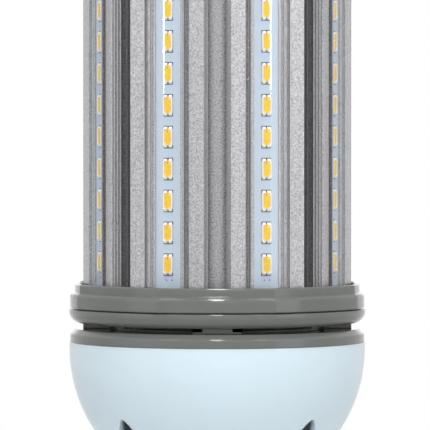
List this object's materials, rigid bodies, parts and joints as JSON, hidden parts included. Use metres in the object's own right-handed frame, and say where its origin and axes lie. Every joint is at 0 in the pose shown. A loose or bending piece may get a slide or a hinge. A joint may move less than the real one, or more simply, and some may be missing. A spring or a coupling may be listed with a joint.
{
  "type": "led hid replacement lamp",
  "caption": "Column lamp: panels of LEDs under clear covers round an aluminium heat sink, grey collars, a pale vented bowl and a screw base.",
  "frame": {"origin": "tip of the centre contact, on the lamp's axis", "axes": "+Z along the lamp's axis towards its LED end, -Y towards the front of the picture"},
  "size_m": [0.093, 0.093, 0.27],
  "materials": {
    "aluminium": "fine blasted anodised",
    "grey_plastic": "smooth satin",
    "white_plastic": "smooth satin",
    "clear_plastic": "clear",
    "board_white": "solder mask",
    "package_white": "moulded",
    "shell_metal": "nickel plated",
    "contact_brass": "turned",
    "insulator_black": "glazed",
    "screw_steel": "plated",
    "gasket_rubber": "silicone sheet",
    "pcb_green": "solder mask",
    "carrier_plastic": "moulded",
    "winding_tape": "tape",
    "capacitor_sleeve": "shrink sleeve",
    "film_yellow": "dipped",
    "copper_winding": "enamelled wire",
    "lead_red": "insulation",
    "lead_black": "insulation",
    "lead_white": "insulation"
  },
  "bodies": {
    "root": {"base_insulator": "insulator_black", "centre_contact": "contact_brass", "collar_screws": "screw_steel", "driver_board": "pcb_green", "driver_carrier": "carrier_plastic", "driver_housing": "white_plastic", "electrolytic_capacitors": "capacitor_sleeve", "film_capacitor": "film_yellow", "filter_choke": "copper_winding", "flange_ring": "grey_plastic", "heat_sink": "aluminium", "housing_ring": "grey_plastic", "led_board_1": "board_white", "led_board_2": "board_white", "led_board_3": "board_white", "led_board_4": "board_white", "led_board_5": "board_white", "led_board_6": "board_white", "led_board_7": "board_white", "led_board_8": "board_white", "led_packages_1": "package_white", "led_packages_2": "package_white", "led_packages_3": "package_white", "led_packages_4": "package_white", "led_packages_5": "package_white", "led_packages_6": "package_white", "led_packages_7": "package_white", "led_packages_8": "package_white", "lens_cover_1": "clear_plastic", "lens_cover_2": "clear_plastic", "lens_cover_3": "clear_plastic", "lens_cover_4": "clear_plastic", "lens_cover_5": "clear_plastic", "lens_cover_6": "clear_plastic", "lens_cover_7": "clear_plastic", "lens_cover_8": "clear_plastic", "live_lead": "lead_black", "lower_collar": "grey_plastic", "lower_gasket": "gasket_rubber", "negative_lead": "lead_black", "neutral_lead": "lead_white", "positive_lead": "lead_red", "post_screws": "screw_steel", "screw_shell": "shell_metal", "top_cap": "grey_plastic", "top_cap_screws": "screw_steel", "transformer": "winding_tape", "upper_collar": "grey_plastic", "upper_gasket": "gasket_rubber", "wiring_board": "board_white"}
  },
  "joints": []
}
